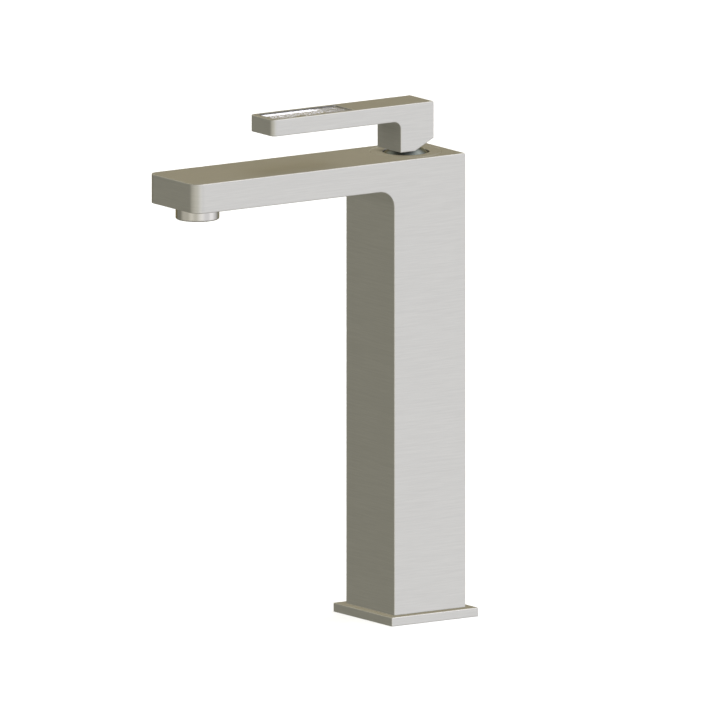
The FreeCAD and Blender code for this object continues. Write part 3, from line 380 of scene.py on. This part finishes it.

# %% [markdown]
# ## Edges and corners
# Hands and cloths rub an edge first, so on real brushed metal each edge is a thin, smooth line. The CAD
# edges are sharp. A Bevel modifier could round them, but a CAD mesh stays as it is, so the Bevel node
# rounds them for the light alone. Where its normal leans away from the face's own, the metal counts as
# worn: it is smoother, and its colour is brightened, a painted highlight along the edge. In a corner that
# other faces shelter, less light gets in; the Ambient Occlusion node measures how open a point is, and
# the colour there is darkened as painted shade.

# %% Round and wear the edges, and paint a highlight on them
EDGE_RADIUS = 0.0007
EDGE_SAMPLES = 6
FULL_LEAN = 0.29


def worn_and_highlighted_edges():
    """Normal = rounded over EDGE_RADIUS. Wear = (1 - rounded normal . face normal) / FULL_LEAN, up to 1."""
    # The wear mask makes the rounded edges smoother and brightens their colour, a painted highlight.
    group, _, made = new_group("worn_and_highlighted_edges", ("Normal", "WearAndHighlight"))
    rounded = add_node(group, "ShaderNodeBevel", samples=EDGE_SAMPLES)
    feed(group, EDGE_RADIUS, rounded.inputs["Radius"])
    face = add_node(group, "ShaderNodeNewGeometry").outputs["Normal"]
    agreement = calculate_vector(group, "DOT_PRODUCT", rounded.outputs["Normal"], face)
    lean = calculate(group, "DIVIDE", calculate(group, "SUBTRACT", 1.0, agreement), FULL_LEAN)
    feed(group, rounded.outputs["Normal"], made["Normal"])
    feed(group, calculate(group, "MINIMUM", lean, 1.0), made["WearAndHighlight"])
    return group


EDGE_WEAR_AND_HIGHLIGHT = worn_and_highlighted_edges()
print("group", EDGE_WEAR_AND_HIGHLIGHT.name)

# %% Paint shade into sheltered corners
def occlusion_shade(name, own_faces_only):
    """Painted shade = 1 - Strength x (1 - openness Within a distance), for the colour."""
    group, given, made = new_group(name, ("Shade",), Strength=0.3, Within=0.02)
    openness = add_node(group, "ShaderNodeAmbientOcclusion", only_local=own_faces_only)
    feed(group, given["Within"], openness.inputs["Distance"])
    closed = calculate(group, "SUBTRACT", 1.0, openness.outputs["AO"])
    darker = calculate(group, "MULTIPLY", closed, given["Strength"])
    feed(group, calculate(group, "SUBTRACT", 1.0, darker), made["Shade"])
    return group


OWN_FACES_SHADE = occlusion_shade("painted_shade_by_own_faces", True)
ALL_PARTS_SHADE = occlusion_shade("painted_shade_by_all_parts", False)
print("groups", OWN_FACES_SHADE.name, "and", ALL_PARTS_SHADE.name)

# %% [markdown]
# ## Painted shade under the crystal and round the dome
# The pocket under the crystal lies in shade, and its thin wall shows as a dark line along the far side,
# but not across the rear. The well inside the flush ring lies in shade as well. Neither wall can have a
# material of its own, because a CAD mesh stays as it is, so two masks in the object's own coordinates
# paint that shade into their colour. The pocket's mask looks at X and Y alone, so it reaches the bar's
# underside too.

# %% Paint shade into the milled pocket
BED_MARGIN = 0.0004
POCKET_SHADE_TONE = 0.35
crystal_low, crystal_high = (np.array(corner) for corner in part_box("crystal_insert"))


def pocket_shade():
    """Painted shade = the pocket's shade tone inside the crystal's box seen from above, and 1 outside it.

    The box is a margin wider than the crystal on every side but the rear, where it is a margin shorter.
    """
    group, _, made = new_group("pocket_shade", ("Shade",))
    place = split_place(group)
    inside = 1.0
    for axis, (label, end_margin) in enumerate((("X", BED_MARGIN), ("Y", -BED_MARGIN))):
        first = float(crystal_low[axis]) - BED_MARGIN
        last = float(crystal_high[axis]) + end_margin
        away = calculate(group, "ABSOLUTE", calculate(group, "SUBTRACT", place[label], (first + last) / 2))
        within = calculate(group, "LESS_THAN", away, (last - first) / 2)
        inside = calculate(group, "MULTIPLY", inside, within)
    feed(group, calculate(group, "MULTIPLY_ADD", inside, POCKET_SHADE_TONE - 1, 1.0), made["Shade"])
    return group


POCKET_SHADE = pocket_shade()
print("group", POCKET_SHADE.name, "round a crystal of", (crystal_high - crystal_low).round(4))

# %% Paint shade into the well inside the flush ring
WELL_SHADE_TONE = 0.12
WELL_START = 0.0002
WELL_FULL = 0.0016
ring_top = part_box("trim_ring")[1][2]


def ring_well_shade():
    """Painted shade = 1 down to WELL_START below the ring's top, and the well's shade tone from WELL_FULL
    below it.
    """
    group, _, made = new_group("ring_well_shade", ("Shade",))
    depth = calculate(group, "SUBTRACT", ring_top, split_place(group)["Z"])
    deep = soft_step(group, depth, WELL_START, WELL_FULL)
    feed(group, calculate(group, "MULTIPLY_ADD", deep, WELL_SHADE_TONE - 1, 1.0), made["Shade"])
    return group


RING_WELL_SHADE = ring_well_shade()
print("group", RING_WELL_SHADE.name, "below", round(ring_top, 4), "m")

# %% [markdown]
# ## One recipe for a grained finish
# A finish is a colour multiplied by the grain's shade, a roughness that follows the grain's height, and a
# bump from the same height. A plated part may also have worn edges, sheltered corners and one of the
# masks. Each material could be drawn by hand, but they would drift apart, so one function makes them all.
# The rest are plain numbers on the shader, such as whether it is a metal.

# %% Place a group and tint a colour
def place_group(tree, group, **values):
    """Put a node group in a material with values of its own, and give its outputs."""
    node = add_node(tree, "ShaderNodeGroup", node_tree=group)
    for label, number in values.items():
        node.inputs[label].default_value = number
    return node.outputs


def tint(tree, colour, shade):
    """A colour multiplied by a shade."""
    mix = add_node(tree, "ShaderNodeMix", data_type="RGBA", blend_type="MULTIPLY")
    feed(tree, 1.0, mix.inputs["Factor"])
    feed(tree, colour, mix.inputs["A"])
    feed(tree, shade, mix.inputs["B"])
    return mix.outputs["Result"]


print("groups can be placed and colours tinted")

# %% Mix a finish
BUMP_DEPTH = 0.00005


def finish(name, colour, grain, roughness, spread=0.06, bump=0.1, metallic=0.0, coat=0.0, wear_and_highlight=0.0,
           painted_shade=None, painted_shade_mask=None, **grain_values):
    """Colour x grain shade x (1 + wear x Wear) x painted shade x a painted shade mask, and a roughness
    that follows the grain. The wear term brightens worn edges as a painted highlight.

    Worn metal is smoother, by half of wear x roughness. With no spread and no wear the roughness is a
    plain number on the shader.
    """
    material = bpy.data.materials.new(name)
    material.use_nodes = True
    tree = material.node_tree
    shader = tree.nodes["Principled BSDF"].inputs
    lines = place_group(tree, grain, **grain_values)
    ridges = add_node(tree, "ShaderNodeBump")
    coloured = tint(tree, (*colour, 1), lines["Shade"])
    uneven = roughness
    if spread:
        uneven = calculate(tree, "MULTIPLY_ADD", lines["Height"], spread, roughness - spread / 2)
    if wear_and_highlight:
        edges = place_group(tree, EDGE_WEAR_AND_HIGHLIGHT)
        # Worn edges are smoother, and their colour is brightened as a painted highlight.
        coloured = tint(tree, coloured, calculate(tree, "MULTIPLY_ADD", edges["WearAndHighlight"], wear_and_highlight, 1.0))
        uneven = calculate(tree, "MULTIPLY_ADD", edges["WearAndHighlight"], -wear_and_highlight * roughness / 2, uneven)
        feed(tree, edges["Normal"], ridges.inputs["Normal"])
    if painted_shade:
        # Painted shade: the colour is darkened where faces shelter each other.
        group, strength, within = painted_shade
        corners = place_group(tree, group, Strength=strength, Within=within)
        coloured = tint(tree, coloured, corners["Shade"])
    if painted_shade_mask:
        # Painted shade from a mask in the object's own coordinates.
        coloured = tint(tree, coloured, place_group(tree, painted_shade_mask)["Shade"])
    feed(tree, coloured, shader["Base Color"])
    feed(tree, uneven, shader["Roughness"])
    feed(tree, bump, ridges.inputs["Strength"])
    feed(tree, BUMP_DEPTH, ridges.inputs["Distance"])
    feed(tree, lines["Height"], ridges.inputs["Height"])
    feed(tree, ridges.outputs["Normal"], shader["Normal"])
    shader["Metallic"].default_value = metallic
    shader["Coat Weight"].default_value = coat
    return material


def dress(material, *nodes):
    """Give the material to whole CAD parts."""
    for node in nodes:
        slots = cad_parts[node].data.materials
        slots.clear()
        slots.append(material)
    print(material.name, "on", ", ".join(nodes))


print("finishes can be mixed")

# %% [markdown]
# ## Nickel
# The body, base plate and lever are brushed in straight strokes. The flush ring is turned, so its lines
# run round the lever. The aerator's collar is turned too and smoother, which is why it shows the room as
# upright bands. The dome under the lever is nickel too, with its colour darkened as painted shade from
# the lever's block above it. An anisotropic shader could stretch the highlights along the strokes, but
# from this distance only fine streaks of tone are seen, and noise in colour, roughness and bump gives
# those.

# %% Plate the body, the base plate and the lever
NICKEL = (0.66, 0.65, 0.63)
# The painted shade's group, its Strength and the distance Within which faces shelter each other.
BAR_PAINTED_SHADE = (OWN_FACES_SHADE, 0.8, 0.1)

dress(finish("brushed_nickel", NICKEL, BRUSHING, roughness=0.40, bump=0.12, metallic=1.0, wear_and_highlight=0.6,
             Strength=0.2),
      "faucet_body", "base_plate")
dress(finish("lever_nickel", NICKEL, BRUSHING, roughness=0.40, bump=0.12, metallic=1.0, wear_and_highlight=0.6,
             painted_shade=BAR_PAINTED_SHADE, painted_shade_mask=POCKET_SHADE, Strength=0.2),
      "lever_handle")

# %% Plate the ring, the collar and the dome
COLLAR_NICKEL = (0.66, 0.64, 0.62)
# Painted shade: the dome's darker nickel colour, and darkened sheltered corners on the ring and the dome.
SHADED_DOME_NICKEL = (0.20, 0.22, 0.21)
RING_PAINTED_SHADE = (ALL_PARTS_SHADE, 0.9, 0.004)
DOME_PAINTED_SHADE = (ALL_PARTS_SHADE, 0.95, 0.004)
collar_low, collar_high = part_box("aerator_housing")
collar_y = (collar_low[1] + collar_high[1]) / 2

dress(finish("turned_nickel", NICKEL, TURNING, roughness=0.40, bump=0.12, metallic=1.0, wear_and_highlight=0.1,
             painted_shade=RING_PAINTED_SHADE, painted_shade_mask=RING_WELL_SHADE, Strength=0.2),
      "trim_ring")
dress(finish("collar_nickel", COLLAR_NICKEL, TURNING, roughness=0.14, bump=0.05, metallic=1.0, wear_and_highlight=0.1,
             Strength=0.06, CentreY=collar_y),
      "aerator_housing")
dress(finish("shaded_dome_nickel", SHADED_DOME_NICKEL, TURNING, roughness=0.26, bump=0.02, metallic=1.0,
             painted_shade=DOME_PAINTED_SHADE, Strength=0.03),
      "dome_cap")

# %% [markdown]
# The photograph's metal mirrors the room but never its own neighbours. Painting the reflections out would
# fail from any other side, so every CAD part is simply kept out of what the others mirror.

# %% Keep the parts out of each other's reflections
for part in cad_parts.values():
    part.visible_glossy = False
print(len(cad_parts), "parts kept out of reflections")

# %% [markdown]
# ## Brass and steel inside
# What works inside is bare metal. The foot, the cartridge nut and the lever's stem are turned from brass
# bar, the risers are drawn tube with a duller, mottled skin, and the screws and the hinge pin are
# stainless steel. They could share one plain metal, because the body hides them, but an opened model
# shows them, so each gets the grain that its making leaves.

# %% Leave the working metal bare
BRASS = (0.78, 0.60, 0.34)
DULL_BRASS = (0.70, 0.52, 0.28)
STEEL = (0.60, 0.60, 0.60)

dress(finish("machined_brass", BRASS, TURNING, roughness=0.30, bump=0.2, metallic=1.0,
             Strength=0.25, Lines=1100.0),
      "foot_insert", "cartridge_nut", "lever_stem")
dress(finish("drawn_brass", DULL_BRASS, SPECKLE, roughness=0.36, bump=0.1, metallic=1.0,
             Strength=0.2, Grains=700.0),
      "hot_riser", "cold_riser")
dress(finish("stainless_steel", STEEL, TURNING, roughness=0.28, bump=0.15, metallic=1.0, Strength=0.15),
      "base_screws", "pivot_pin", "grub_screw")

# %% [markdown]
# ## Plastic, ceramic and rubber inside
# The cartridge is white moulded plastic with a slight sheen. Its two discs are lapped alumina, denser and
# glossier. The aerator's insert is a paler plastic with a duller face, and every seal is black rubber
# that has lost its shine. Subsurface light would suit the plastics, but it is slow and can't be seen
# here, so the same speckle serves all four at different sizes.

# %% Mould, fire and vulcanise
CARTRIDGE_WHITE = (0.84, 0.84, 0.80)
CERAMIC_WHITE = (0.90, 0.89, 0.85)
AERATOR_WHITE = (0.86, 0.86, 0.83)
RUBBER_BLACK = (0.028, 0.028, 0.030)

dress(finish("cartridge_plastic", CARTRIDGE_WHITE, SPECKLE, roughness=0.34, bump=0.08, coat=0.2,
             Strength=0.05, Grains=1400.0),
      "cartridge_base", "cartridge_housing", "stem_guide", "disc_carrier")
dress(finish("disc_ceramic", CERAMIC_WHITE, SPECKLE, roughness=0.14, bump=0.03, coat=0.5,
             Strength=0.04, Grains=2600.0),
      "fixed_disc", "moving_disc")
dress(finish("aerator_plastic", AERATOR_WHITE, SPECKLE, roughness=0.45, bump=0.1,
             Strength=0.06, Grains=1800.0),
      "aerator_body", "flow_regulator", "aerator_screen")
dress(finish("seal_rubber", RUBBER_BLACK, SPECKLE, roughness=0.62, bump=0.25,
             Strength=0.3, Grains=2200.0),
      "base_gasket", "riser_o_rings", "port_seals", "disc_seals", "ring_o_ring", "aerator_washer",
      "guide_o_ring")

# %% [markdown]
# ## The crystal
# The bar in the lever is clear glass with a silvered underside, like a mirror seen through thick ice. It
# could be a plain block with a bump, but at this low angle a bump alone leaves the outline of the
# ripples flat. So both faces are computed. The top is nearly flat. The underside is rippled on the near
# side, where it climbs at 4 degrees, and steepens to 9 degrees at a wavy edge. Past the edge it climbs
# smoothly at 13.5 degrees and throws the bright ceiling at the viewer: that is the long white band in the
# photograph. Towards the rear it climbs less and ripples more.

# %% Choose the crystal's slopes
GRID_STEP = 0.00025
TOP_SINK = 0.0001
LEAST_THICKNESS = 0.0001
NEAR_SLOPE = math.tan(math.radians(4))
EDGE_SLOPE = math.tan(math.radians(9))
FAR_SLOPE = math.tan(math.radians(13.5))
BAND_EDGE = -0.0040
BAND_SWING = 0.0007
REAR_START = 0.66
REAR_FULL = 0.84
REAR_EASE = 0.25
print("the underside climbs by", round(NEAR_SLOPE, 3), "to", round(FAR_SLOPE, 3), "m per metre")

# %% Choose the crystal's ripples
TOP_RIPPLE = 0.00003
BED_RIPPLE = 0.00015
REAR_RIPPLE = 1.4
NEAR_START = -0.0045
NEAR_FULL = -0.0015
TOP_WAVE = 0.005
BED_WAVE = 0.0032
SWING_WAVE = 0.007
BEND = 1.4
BEND_ALONG = 0.21
BEND_ACROSS = 0.35
# Each wave: turns per wavelength along the lever and across it, share of the bend, start.
WAVES = ((0.40, 1.30, 1.0, 0.0), (0.75, -0.90, -1.7, 1.0), (1.20, 0.70, 2.3, 2.0))
print("ripples", BED_WAVE * 1000, "mm long and", 2 * BED_RIPPLE * 1000, "mm high")

# %% Ripple and ease
def ripple(across, along, wave):
    """Mean of three sine waves of about one wavelength, each bent by a slower one, between -1 and 1."""
    turn = 2 * math.pi / wave
    bend = BEND * np.sin(turn * (BEND_ALONG * along + BEND_ACROSS * across))
    return sum(np.sin(turn * (a * along + b * across) + share * bend + start)
               for a, b, share, start in WAVES) / len(WAVES)


def ease(number, low, high):
    """3 s^2 - 2 s^3, where s goes from 0 to 1 while number goes from low to high."""
    share = np.clip((number - low) / (high - low), 0, 1)
    return share * share * (3 - 2 * share)


print("half way the ease is", ease(0.5, 0, 1))

# %% Work out the crystal's two faces
def crystal_faces():
    """Places on the top and the underside, on one grid of x across the lever and y along it.

    Top = upper face - sink + small ripple. Underside = lower face + a climb that steepens evenly from the
    near side to the band's wavy edge and is steeper past it + ripple x how near the point is to the near
    side or to the rear. The rear climbs less and ripples more. The top caps the underside.
    """
    size = crystal_high - crystal_low
    counts = np.round(size[:2] / GRID_STEP).astype(int) + 1
    x = np.linspace(crystal_low[0], crystal_high[0], counts[0])
    y = np.linspace(crystal_low[1], crystal_high[1], counts[1])
    across, along = np.meshgrid(x, y, indexing="ij")
    top = crystal_high[2] - TOP_SINK + TOP_RIPPLE * (ripple(across, along, TOP_WAVE) - 1)

    near_side = ease(across, NEAR_START, NEAR_FULL)
    rear = ease(along - crystal_low[1], REAR_START * size[1], REAR_FULL * size[1])
    active = np.maximum(near_side, rear)

    edge = BAND_EDGE + BAND_SWING * ripple(0 * along, along, SWING_WAVE)
    steep = (FAR_SLOPE - EDGE_SLOPE) * (1 - rear)
    inward = crystal_high[0] - across
    before = np.minimum(inward, crystal_high[0] - edge)
    steepening = (EDGE_SLOPE - NEAR_SLOPE) / (crystal_high[0] - edge)
    climb = NEAR_SLOPE * before + steepening * before ** 2 / 2 + (EDGE_SLOPE + steep) * (inward - before)
    climb = climb * (1 - REAR_EASE * rear)

    height = BED_RIPPLE * (1 + REAR_RIPPLE * rear)
    bed = crystal_low[2] + climb + height * active * (1 + ripple(across, along, BED_WAVE))
    return across, along, top, np.minimum(bed, top - LEAST_THICKNESS)


across, along, top, bed = crystal_faces()
print("crystal grid", across.shape, "thickness", round(float((top - bed).min()) * 1000, 2), "mm at least")

# %% [markdown]
# The two faces share one grid, so closing them is a matter of counting: the underside repeats the top's
# squares in the other order, and a wall of squares runs round the rim. A Solidify modifier can't do it,
# because it would give both faces the same shape.

# %% Count the squares and the rim
def grid_squares(rows, columns):
    """Four corner numbers for each square of a grid, anticlockwise seen from above."""
    number = np.arange(rows * columns).reshape(rows, columns)
    return np.stack([number[:-1, :-1], number[1:, :-1], number[1:, 1:], number[:-1, 1:]], -1).reshape(-1, 4)


def rim_numbers(rows, columns):
    """The corner numbers round a grid's rim, anticlockwise seen from above."""
    number = np.arange(rows * columns).reshape(rows, columns)
    return np.concatenate([number[:-1, 0], number[-1, :-1], number[:0:-1, -1], number[0, :0:-1]])


print(len(grid_squares(*across.shape)), "squares,", len(rim_numbers(*across.shape)), "corners on the rim")

# %% Close the crystal
def closed_slab(name, across, along, top, bed):
    """A mesh between two height fields over one grid, and how many of its faces are the top and walls."""
    upper = np.stack([across, along, top], -1).reshape(-1, 3)
    lower = np.stack([across, along, bed], -1).reshape(-1, 3)
    squares = grid_squares(*across.shape)
    rim = rim_numbers(*across.shape)
    after = np.roll(rim, -1)
    under = across.size
    walls = np.stack([rim + under, after + under, after, rim], -1)
    faces = np.concatenate([squares, walls, squares[:, ::-1] + under])
    smooth = np.concatenate([np.ones(len(squares)), np.zeros(len(walls)), np.ones(len(squares))])
    mesh = bpy.data.meshes.new(name)
    mesh.from_pydata(np.concatenate([upper, lower]).tolist(), [], faces.tolist())
    mesh.polygons.foreach_set("use_smooth", smooth.astype(bool))
    return mesh, len(squares) + len(walls)


crystal_mesh, clear_faces = closed_slab("crystal", across, along, top, bed)
crystal = bpy.data.objects.new("rippled_crystal", crystal_mesh)
bpy.context.scene.collection.objects.link(crystal)
print("crystal has", len(crystal_mesh.polygons), "faces")

# %% [markdown]
# The top and the walls are clear glass, and the underside is silver. A silver sheet of its own would have
# to lie a hair below the glass, so one mesh carries both materials, and the silver starts where the clear
# faces end. The piece rides on the lever and stands in for the plain CAD bar.

# %% Glass above, silver below
CLEAR = (0.985, 0.985, 0.99)
SILVER = (0.85, 0.86, 0.95)

glass = finish("clear_crystal", CLEAR, SPECKLE, roughness=0.02, spread=0.0, bump=0.02,
               Strength=0.02, Grains=300.0)
glass.node_tree.nodes["Principled BSDF"].inputs["Transmission Weight"].default_value = 1.0
silver = finish("silvered_back", SILVER, SPECKLE, roughness=0.08, spread=0.04, bump=0.05, metallic=1.0,
                Strength=0.06, Grains=500.0)
crystal_mesh.materials.append(glass)
crystal_mesh.materials.append(silver)
silvered = np.arange(len(crystal_mesh.polygons)) >= clear_faces
crystal_mesh.polygons.foreach_set("material_index", silvered.astype(np.int32))
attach(crystal, "lever")
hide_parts("crystal_insert")
print(glass.name, "on", clear_faces, "faces,", silver.name, "on the rest")
